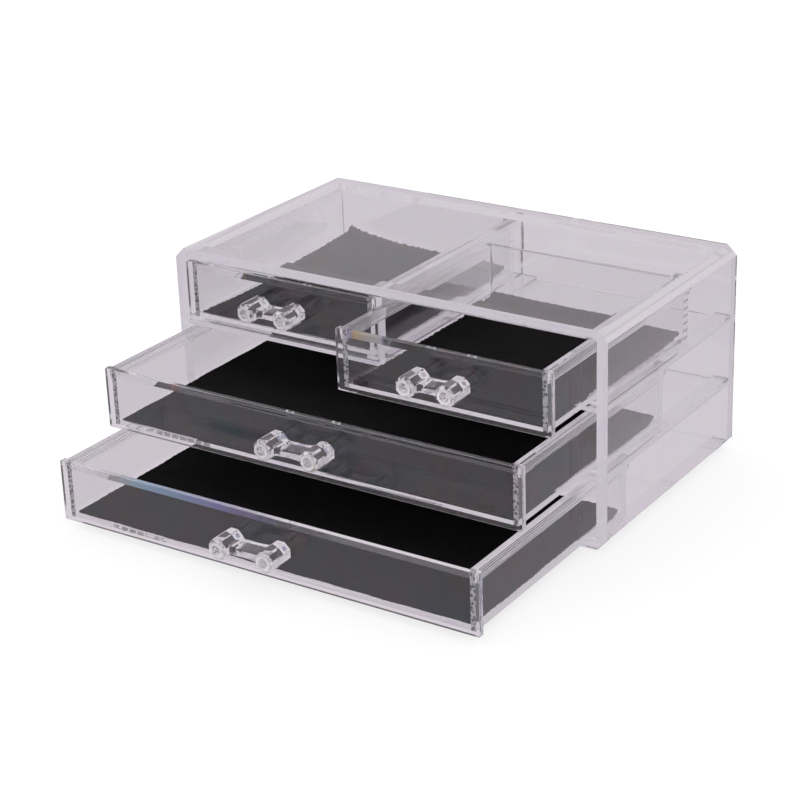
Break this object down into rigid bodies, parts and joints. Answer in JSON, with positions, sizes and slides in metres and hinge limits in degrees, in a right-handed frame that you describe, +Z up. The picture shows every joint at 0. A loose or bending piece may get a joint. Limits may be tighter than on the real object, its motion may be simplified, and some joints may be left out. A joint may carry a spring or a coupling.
{
  "type": "make-up organiser with drawers",
  "caption": "Clear box-shaped desktop case with a raised border on top, wide drawers below small ones, dumbbell pulls and black drawer liners.",
  "frame": {"origin": "centre of the whole footprint at rest, open drawers and handles included, on the plane under the case's four feet", "axes": "+Z up, -Y to the front where the drawers open, +X to the right as seen from the front"},
  "size_m": [0.24, 0.2458, 0.1072],
  "materials": {
    "clear_plastic": "clear, polished, faintly lilac",
    "black_liner": "matte black foam mesh"
  },
  "bodies": {
    "case": {"case_shell": "clear_plastic", "back_panel": "clear_plastic", "lower_shelf": "clear_plastic", "upper_shelf": "clear_plastic", "centre_divider": "clear_plastic", "case_feet": "clear_plastic", "bottom_runners": "clear_plastic", "middle_runners": "clear_plastic", "top_left_runners": "clear_plastic", "top_right_runners": "clear_plastic"},
    "bottom_drawer": {"bottom_drawer_tray": "clear_plastic", "bottom_drawer_front": "clear_plastic", "bottom_drawer_handle": "clear_plastic", "bottom_drawer_liner": "black_liner"},
    "middle_drawer": {"middle_drawer_tray": "clear_plastic", "middle_drawer_front": "clear_plastic", "middle_drawer_handle": "clear_plastic", "middle_drawer_liner": "black_liner"},
    "top_left_drawer": {"top_left_drawer_tray": "clear_plastic", "top_left_drawer_front": "clear_plastic", "top_left_drawer_handle": "clear_plastic", "top_left_drawer_liner": "black_liner"},
    "top_right_drawer": {"top_right_drawer_tray": "clear_plastic", "top_right_drawer_front": "clear_plastic", "top_right_drawer_handle": "clear_plastic", "top_right_drawer_liner": "black_liner"}
  },
  "joints": [
    {"name": "bottom_drawer_slide", "type": "slide", "parent": "case", "child": "bottom_drawer", "axis": [0, -1, 0], "range_m": [-0.0998, 0.008]},
    {"name": "middle_drawer_slide", "type": "slide", "parent": "case", "child": "middle_drawer", "axis": [0, -1, 0], "range_m": [-0.0641, 0.0437]},
    {"name": "top_left_drawer_slide", "type": "slide", "parent": "case", "child": "top_left_drawer", "axis": [0, -1, 0], "range_m": [0, 0.1078]},
    {"name": "top_right_drawer_slide", "type": "slide", "parent": "case", "child": "top_right_drawer", "axis": [0, -1, 0], "range_m": [-0.0387, 0.0691]}
  ]
}
